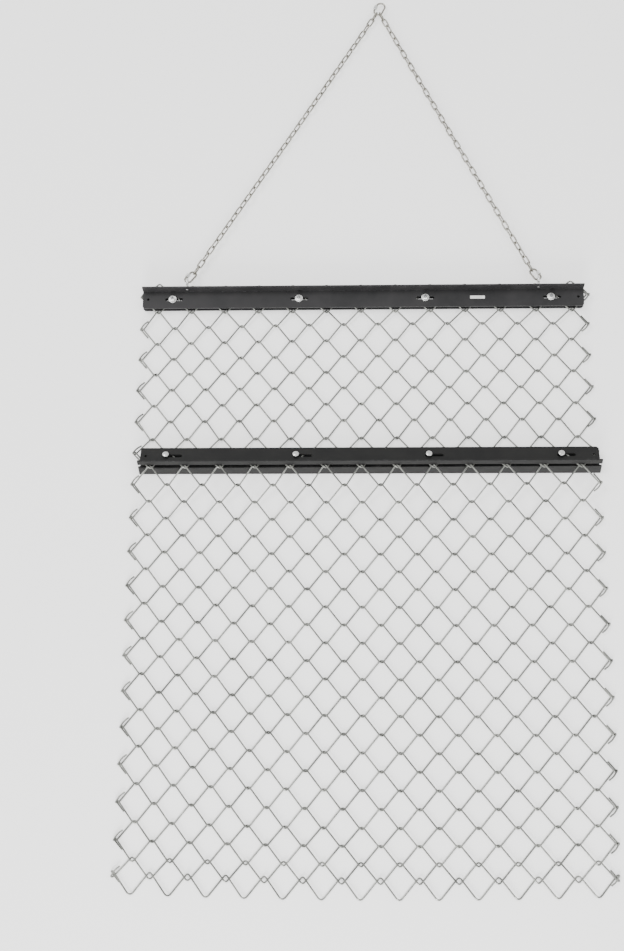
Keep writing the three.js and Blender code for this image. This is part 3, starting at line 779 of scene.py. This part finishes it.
def washer_and_nut():
    low, nut_low = GRIP + SEAT_GAP, GRIP + SEAT_GAP + WASHER
    nut_top = nut_low + NUT_HIGH
    bore, rim = BOLT_DIA / 2 + BORE_GAP, WASHER_DIA / 2
    washer = [
        (bore, low),
        (rim - WASHER_EDGE, low),
        (rim, low + WASHER_EDGE),
        (rim, nut_low - WASHER_EDGE),
        (rim - WASHER_EDGE, nut_low),
        (bore, nut_low),
    ]
    corner = NUT_ACROSS / 2 / math.cos(math.pi / HEXAGON)
    nut = [
        (bore, nut_low),
        (corner - NUT_SEAT_CUT[0], nut_low),
        (corner, nut_low + NUT_SEAT_CUT[1]),
        (corner, nut_top - NUT_TOP_CUT[1]),
        (corner - NUT_TOP_CUT[0], nut_top),
        (bore + NUT_BORE_CUT[0], nut_top),
        (bore, nut_top - NUT_BORE_CUT[1]),
    ]
    return turned(washer, HEAD_SIDES, bored=True), turned(nut, HEXAGON, bored=True)


def bolt_shapes(neck):
    """Carriage bolt with Z from its head to its nut: its bright shapes as one, and its shank."""
    bear = -neck - SEAT_GAP
    shapes = [bolt_head((LEVEL_HEAD_DIA if neck else HEAD_DIA) / 2, bear)]
    if neck:
        half = NECK_WIDTH / 2
        square = [(-half, -half), (half, -half), (half, half), (-half, half)]
        shapes.append(extruded(square, [], bear, -SEAT_GAP))
    return together(*shapes, *washer_and_nut()), bolt_shank(bear)


def make_bolts():
    upside_down = Matrix.Rotation(math.pi, 4, "X")
    for word, places, neck in (("tow", TOW_BOLTS, 0), ("level", LEVEL_BOLTS, NECK_HIGH)):
        body = word + "_bar"
        for number, x in enumerate(places, 1):
            if word == "tow":
                place = Matrix.Translation((x, 0, 0))
            else:
                place = LEVEL_BAR @ Matrix.Translation((x, LEVEL_MIDDLE, PLATE_LOW + PLATE))
                place = place @ upside_down
            bright, shank = (moved(shape, place) for shape in bolt_shapes(neck))
            name, node = f"{word}_carriage_bolt_{number}", f"{word}_bolt_{number}"
            piece(name, bright, body, [node], BOLT_FINISH, edge=BOLT_EDGE)
            piece(name + "_thread", shank, body, [], THREAD_FINISH, crisp=LINK_CRISP)


# Tow chain
def chain_layout():
    """Where the pieces of the tow chain lie, in the order of the part's own working."""
    eye = Vector((0, BAR_WIDTH / 2 + EYE_TO_FACE, TOW_MAT_Z + PLATE_LOW + BLADE_HEIGHT / 2))
    slope = math.asin(QUICK_REST_SHARE)
    eye_middle = (EYE_HOLE + EYE_WIRE) / 2
    front_y = eye.y + eye_middle * math.cos(slope)
    front_z = eye.z - eye_middle * math.sin(slope)
    hook_back = (EYE_WIRE + QUICK_WIRE) / 2 + EYE_HOOK_GAP
    eye_to_chain = QUICK_REACH - hook_back
    chain_z = front_z - eye_to_chain * math.sin(slope)
    step = LINK_INNER_LENGTH + LINK_FUSE
    link_reach = LINK_INNER_LENGTH + LINK_WIRE
    rest_z = FLOOR_Z + (LINK_INNER_WIDTH + LINK_WIRE) / 2 + LINK_WIRE / 2
    lower_start = LINK_INNER_LENGTH / 2 - QUICK_WIRE / 2 - HOOK_GAP
    to_crown = link_reach / 2
    lower = lower_start + (LOWER_LINKS - 1) * step + LINK_INNER_LENGTH - HOOK_GAP - to_crown
    lower_slope = math.asin((chain_z - rest_z) / lower)
    lower_plan = lower * math.cos(lower_slope)
    apex_half = (APEX_INNER_WIDTH + QUICK_WIRE) / 2
    quick_plan = eye_to_chain * math.cos(slope)
    last = LINK_INNER_LENGTH / 2 - QUICK_WIRE / 2 - APEX_HOOK_GAP
    reach = {
        word: quick_plan + lower_plan + to_crown + (count - 1) * step + last + apex_half
        for word, count in UPPER_LINKS.items()
    }
    apex_x = (reach["left"] ** 2 - reach["right"] ** 2) / (4 * EYE_PLACE)
    apex_y = front_y + math.sqrt(reach["left"] ** 2 - (EYE_PLACE + apex_x) ** 2)

    def along(side, turn, distance, z):
        x = side * (EYE_PLACE - distance * math.sin(turn))
        return Matrix.Translation((x, front_y + distance * math.cos(turn), z))

    legs = {}
    for word, side in (("left", -1), ("right", 1)):
        turn = math.atan2(EYE_PLACE - side * apex_x, apex_y - front_y)
        heading = Matrix.Rotation(math.pi / 2 + side * turn, 4, "Z")
        flip = Matrix.Rotation(math.pi if side > 0 else 0, 4, "X")
        hook_z = front_z + hook_back * math.sin(slope)
        hook = along(side, turn, -hook_back * math.cos(slope), hook_z)
        start = along(side, turn, quick_plan, chain_z)
        legs[word] = {
            "eye": Matrix.Translation((side * EYE_PLACE, eye.y, eye.z)),
            "link": hook @ heading @ Matrix.Rotation(slope, 4, "Y") @ flip,
            "lower": start @ heading @ Matrix.Rotation(lower_slope, 4, "Y"),
            "upper": along(side, turn, quick_plan + lower_plan, rest_z) @ heading,
        }
    turn = math.pi / 2 - APEX_TURN
    x, y = apex_x - apex_half * math.cos(turn), apex_y - apex_half * math.sin(turn)
    apex = Matrix.Translation((x, y, rest_z)) @ Matrix.Rotation(turn, 4, "Z")
    return legs, apex, step, lower_start, to_crown


def oval(reach, half, steps):
    """The two bows of a long ring in the XY plane, the +X one first, with Y rising along it."""
    bows = []
    for end in (1, -1):
        bow = []
        for i in range(steps + 1):
            turn = math.pi * (i / steps - 0.5)
            x = reach / 2 - half + half * math.cos(turn)
            bow.append(Vector((end * x, end * half * math.sin(turn), 0)))
        bows.append(bow)
    return bows


def chain_link(step):
    """A welded link. The weld swells the middle of one straight."""
    half = (CHAIN_OUTER_WIDTH - CHAIN_WIRE) / 2
    front, rear = oval(step + CHAIN_WIRE, half, BOW_STEPS)
    straight = step + CHAIN_WIRE - 2 * half
    weld = [Vector((straight * share, half, 0)) for share in WELD_RINGS]
    points = front + weld + rear
    radii = [CHAIN_WIRE / 2] * len(points)
    for i, share in enumerate(WELD_RISE, len(front) + 1):
        radii[i] *= 1 + WELD_SWELL * share
    return tube(points, radii, WIRE_SIDES, closed=True)


def chain_run(first, count, last, twist, start, step, place):
    """Links a quarter turn apart. The whole leg is twisted as well, but for its two ends."""
    link = chain_link(step)
    links = []
    for i in range(first, first + count):
        quarter = math.pi / 2 if i % 2 == 0 else 0
        turn = quarter + twist * min(1, i / TWIST_LINKS, (last - i) / TWIST_LINKS)
        spot = Matrix.Translation((start + (i - first) * step, 0, 0))
        links.append(moved(link, place @ (spot @ Matrix.Rotation(turn, 4, "X"))))
    return together(*links)


def screw_link(reach, inner_width, place):
    """Oval link with a mouth in its +Y side, whose two ends are threaded for the sleeve."""
    half, radius = (inner_width + QUICK_WIRE) / 2, QUICK_WIRE / 2
    front, rear = oval(reach, half, QUICK_BOW_STEPS)
    threaded = SLEEVE_LENGTH / 2 + QUICK_THREAD_SHOWS - SLEEVE_MOUTH / 2
    turns = int(threaded / (QUICK_PITCH / 2))
    right = [Vector((SLEEVE_MOUTH / 2 + i * QUICK_PITCH / 2, half, 0)) for i in range(turns)]
    left = [Vector((-p.x, p.y, 0)) for p in right]
    thread_radii = [radius - QUICK_THREAD[i % 2] for i in range(turns)]
    points = left + rear + front + right[::-1]
    radii = thread_radii + [radius] * (len(rear) + len(front)) + thread_radii[::-1]
    return moved(tube(points, radii, RING_SIDES), place @ Matrix.Translation((reach / 2, 0, 0)))


def screw_sleeve(reach, inner_width, place):
    """Hexagon sleeve, chamfered at both ends, round the link's mouth."""
    outer, bore, half = SLEEVE_DIA / 2, QUICK_WIRE / 2 + SLEEVE_BORE_GAP, SLEEVE_LENGTH / 2
    inwards, along = SLEEVE_CUT
    profile = [
        (bore, -half),
        (outer - inwards, -half),
        (outer, -half + along),
        (outer, half - along),
        (outer - inwards, half),
        (bore, half),
    ]
    mouth = Matrix.Translation((reach / 2, (inner_width + QUICK_WIRE) / 2, 0))
    spot = mouth @ Matrix.Rotation(math.pi / 2, 4, "Y")
    return moved(turned(profile, HEXAGON, bored=True), place @ spot)


def tow_eye(place):
    """Forged eye bolt with its collar, riveted over behind the leg. Its ring stands upright."""
    middle, radius = (EYE_HOLE + EYE_WIRE) / 2, BOLT_DIA / 2
    turns = [2 * math.pi * i / RING_STEPS for i in range(RING_STEPS)]
    ring = [Vector((0, middle * math.cos(turn), middle * math.sin(turn))) for turn in turns]
    to_back = EYE_TO_FACE + PLATE
    collar_top = EYE_TO_FACE - SEAT_GAP
    collar_low = collar_top - WASHER
    shank = [
        (EYE_WIRE / 2 + EYE_FLARE[0], middle + EYE_FLARE[1]),
        (radius - NECK_TAPER[0], EYE_HOLE / 2 + EYE_WIRE + NECK_TAPER[1]),
        (radius, collar_low),
        (radius, to_back - RIVET_EDGE_ABOVE),
        (radius - RIVET_EDGE[0], to_back + RIVET_EDGE[1]),
        (RIVET_CROWN, to_back + RIVET_CROWN),
    ]
    collar = [
        (radius - COLLAR_SUNK, collar_low),
        (WASHER_DIA / 2 - COLLAR_EDGE, collar_low),
        (WASHER_DIA / 2, collar_low + COLLAR_EDGE),
        (WASHER_DIA / 2, collar_top),
        (radius - COLLAR_SUNK, collar_top),
    ]
    whole = together(
        tube(ring, [EYE_WIRE / 2] * RING_STEPS, RING_SIDES, closed=True),
        turned(shank, SHANK_SIDES),
        turned(collar, COLLAR_SIDES, bored=True),
    )
    return moved(whole, place @ Matrix.Rotation(math.pi / 2, 4, "X"))


def make_screw_link(node, reach, inner_width, place):
    name = "screwed_" + node
    link = screw_link(reach, inner_width, place)
    piece(name, link, node, [node], CHAIN_FINISH, crisp=LINK_CRISP)
    sleeve = screw_sleeve(reach, inner_width, place)
    nodes = [node + "_sleeve"]
    piece(name + "_nut", sleeve, node, nodes, BOLT_FINISH, edge=BOLT_EDGE)


def make_tow_chain():
    legs, apex, step, lower_start, to_crown = chain_layout()
    for word, places in legs.items():
        eye = tow_eye(places["eye"])
        piece("eye_bolt_" + word, eye, "tow_bar", ["tow_eye_" + word], BOLT_FINISH)
        make_screw_link("bar_link_" + word, QUICK_REACH, QUICK_INNER_WIDTH, places["link"])
        upper = UPPER_LINKS[word]
        last, twist = LOWER_LINKS + upper - 1, CHAIN_TWIST[word]
        for part, first, count, start in (
            ("lower", 0, LOWER_LINKS, lower_start),
            ("upper", LOWER_LINKS, upper, to_crown),
        ):
            shape = chain_run(first, count, last, twist, start, step, places[part])
            name, node = f"welded_chain_{part}_{word}", f"chain_{part}_{word}"
            body = f"{part}_chain_{word}"
            piece(name, shape, body, [node], CHAIN_FINISH, crisp=LINK_CRISP)
    make_screw_link("apex_link", APEX_REACH, APEX_INNER_WIDTH, apex)


# Studio
def make_floor():
    sides = ((-1, -1), (1, -1), (1, 1), (-1, 1))
    corners = [(x * FLOOR_HALF, y * FLOOR_HALF, FLOOR_Z) for x, y in sides]
    mesh = mesh_of("floor", (corners, [(0, 1, 2, 3)]))
    mesh.materials.append(studio_paper_painted_glow())
    floor = in_scene("floor", mesh)


def make_light(name, place, target, width, watts):
    """A square soft light, turned towards its target."""
    data = bpy.data.lights.new(name, "AREA")
    data.shape = "SQUARE"
    data.size = width
    data.energy = watts
    lamp = in_scene(name, data)
    lamp.location = place
    lamp.rotation_euler = (Vector(target) - Vector(place)).to_track_quat("-Z", "Y").to_euler()


def make_studio():
    make_floor()
    world = bpy.data.worlds.new("studio")
    world.use_nodes = True
    sky = world.node_tree.nodes["Background"]
    sky.inputs["Color"].default_value = (1, 1, 1, 1)
    sky.inputs["Strength"].default_value = 1.0
    bpy.context.scene.world = world
    for light in LIGHTS:
        make_light(*light)


def make_camera():
    """Nearly straight down, from the place that fits the photograph's rows, bolts and chain."""
    tilt, swing, roll = (math.radians(angle) for angle in CAMERA_TURNS)
    ahead, down = math.sin(tilt) * math.cos(swing), math.cos(tilt) * math.cos(swing)
    look = Vector((math.sin(swing), ahead, -down))
    look.normalize()
    right = look.cross(Vector((0, 1, 0))).normalized()
    up = right.cross(look)
    across = math.cos(roll) * right + math.sin(roll) * up
    upward = math.cos(roll) * up - math.sin(roll) * right
    data = bpy.data.cameras.new("camera")
    data.sensor_fit = "VERTICAL"
    data.sensor_height = SENSOR_HIGH
    data.lens = FOCAL_PIXELS * SENSOR_HIGH / PICTURE_HIGH
    data.clip_end = VIEW_END
    camera = in_scene("camera", data)
    place = Matrix((across, upward, -look)).transposed().to_4x4()
    place.translation = CAMERA_PLACE
    camera.matrix_world = place
    bpy.context.scene.camera = camera


make_camera()
make_studio()
make_mat()
make_bars()
make_label()
make_bolts()
make_tow_chain()
